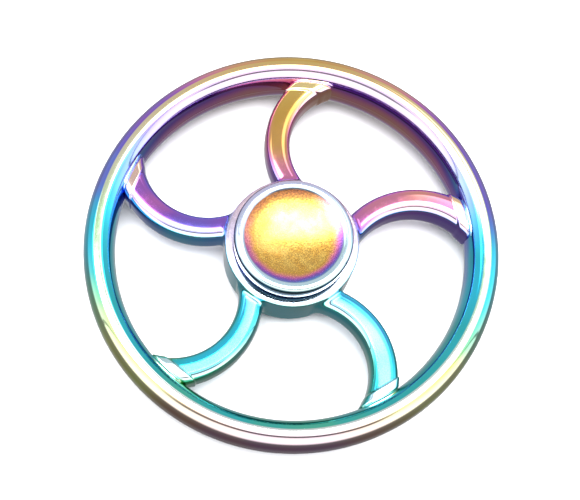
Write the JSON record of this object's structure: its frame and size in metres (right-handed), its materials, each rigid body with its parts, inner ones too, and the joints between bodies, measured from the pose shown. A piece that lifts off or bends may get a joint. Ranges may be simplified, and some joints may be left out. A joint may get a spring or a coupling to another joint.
{
  "type": "fidget spinner",
  "caption": "Hand spinner shaped as a spoked wheel: a rounded rim on curved spokes turns on a ball bearing held between two dished finger caps.",
  "frame": {"origin": "centre of the ball bearing, which is also the centre of the whole spinner", "axes": "+Z along the spin axis, out of the top finger cap; +X and +Y in the plane of the wheel"},
  "size_m": [0.062, 0.062, 0.0116],
  "materials": {
    "rainbow_coating": "polished die-cast metal with a multi-colour vapour coating, gold to purple to cyan",
    "cap_coating": "multi-colour vapour coating, polished lip and fine blasted dish",
    "bearing_steel": "ground bearing steel",
    "ball_steel": "lapped steel",
    "shield_steel": "pressed stainless sheet",
    "spring_steel": "flat spring wire",
    "cage_brass": "plain brass"
  },
  "bodies": {
    "finger_caps": {"finger_cap_top": "cap_coating", "finger_cap_bottom": "cap_coating", "bearing_inner_race": "bearing_steel"},
    "wheel": {"wheel": "rainbow_coating", "bearing_outer_race": "bearing_steel", "shield_top": "shield_steel", "shield_bottom": "shield_steel", "shield_snap_ring_top": "spring_steel", "shield_snap_ring_bottom": "spring_steel"},
    "cage": {"ball_cage": "cage_brass"},
    "ball_01": {"ball_01": "ball_steel"},
    "ball_02": {"ball_02": "ball_steel"},
    "ball_03": {"ball_03": "ball_steel"},
    "ball_04": {"ball_04": "ball_steel"},
    "ball_05": {"ball_05": "ball_steel"},
    "ball_06": {"ball_06": "ball_steel"},
    "ball_07": {"ball_07": "ball_steel"},
    "ball_08": {"ball_08": "ball_steel"},
    "ball_09": {"ball_09": "ball_steel"},
    "ball_10": {"ball_10": "ball_steel"}
  },
  "joints": [
    {"name": "wheel_spin", "type": "hinge", "parent": "finger_caps", "child": "wheel", "pos_m": [0, 0, 0], "axis": [0, 0, 1], "continuous": true},
    {"name": "cage_spin", "type": "hinge", "parent": "finger_caps", "child": "cage", "pos_m": [0, 0, 0], "axis": [0, 0, 1], "continuous": true},
    {"name": "ball_01_roll", "type": "hinge", "parent": "cage", "child": "ball_01", "pos_m": [0.00453, 0.00147, 0], "axis": [0, 0, 1], "continuous": true},
    {"name": "ball_02_roll", "type": "hinge", "parent": "cage", "child": "ball_02", "pos_m": [0.0028, 0.00385, 0], "axis": [0, 0, 1], "continuous": true},
    {"name": "ball_03_roll", "type": "hinge", "parent": "cage", "child": "ball_03", "pos_m": [0, 0.00476, 0], "axis": [0, 0, 1], "continuous": true},
    {"name": "ball_04_roll", "type": "hinge", "parent": "cage", "child": "ball_04", "pos_m": [-0.0028, 0.00385, 0], "axis": [0, 0, 1], "continuous": true},
    {"name": "ball_05_roll", "type": "hinge", "parent": "cage", "child": "ball_05", "pos_m": [-0.00453, 0.00147, 0], "axis": [0, 0, 1], "continuous": true},
    {"name": "ball_06_roll", "type": "hinge", "parent": "cage", "child": "ball_06", "pos_m": [-0.00453, -0.00147, 0], "axis": [0, 0, 1], "continuous": true},
    {"name": "ball_07_roll", "type": "hinge", "parent": "cage", "child": "ball_07", "pos_m": [-0.0028, -0.00385, 0], "axis": [0, 0, 1], "continuous": true},
    {"name": "ball_08_roll", "type": "hinge", "parent": "cage", "child": "ball_08", "pos_m": [0, -0.00476, 0], "axis": [0, 0, 1], "continuous": true},
    {"name": "ball_09_roll", "type": "hinge", "parent": "cage", "child": "ball_09", "pos_m": [0.0028, -0.00385, 0], "axis": [0, 0, 1], "continuous": true},
    {"name": "ball_10_roll", "type": "hinge", "parent": "cage", "child": "ball_10", "pos_m": [0.00453, -0.00147, 0], "axis": [0, 0, 1], "continuous": true}
  ],
  "couplings": [
    {"joint": "cage_spin", "follows": "wheel_spin", "ratio": 0.58333},
    {"joint": "ball_01_roll", "follows": "wheel_spin", "ratio": 2.9167},
    {"joint": "ball_02_roll", "follows": "wheel_spin", "ratio": 2.9167},
    {"joint": "ball_03_roll", "follows": "wheel_spin", "ratio": 2.9167},
    {"joint": "ball_04_roll", "follows": "wheel_spin", "ratio": 2.9167},
    {"joint": "ball_05_roll", "follows": "wheel_spin", "ratio": 2.9167},
    {"joint": "ball_06_roll", "follows": "wheel_spin", "ratio": 2.9167},
    {"joint": "ball_07_roll", "follows": "wheel_spin", "ratio": 2.9167},
    {"joint": "ball_08_roll", "follows": "wheel_spin", "ratio": 2.9167},
    {"joint": "ball_09_roll", "follows": "wheel_spin", "ratio": 2.9167},
    {"joint": "ball_10_roll", "follows": "wheel_spin", "ratio": 2.9167}
  ]
}
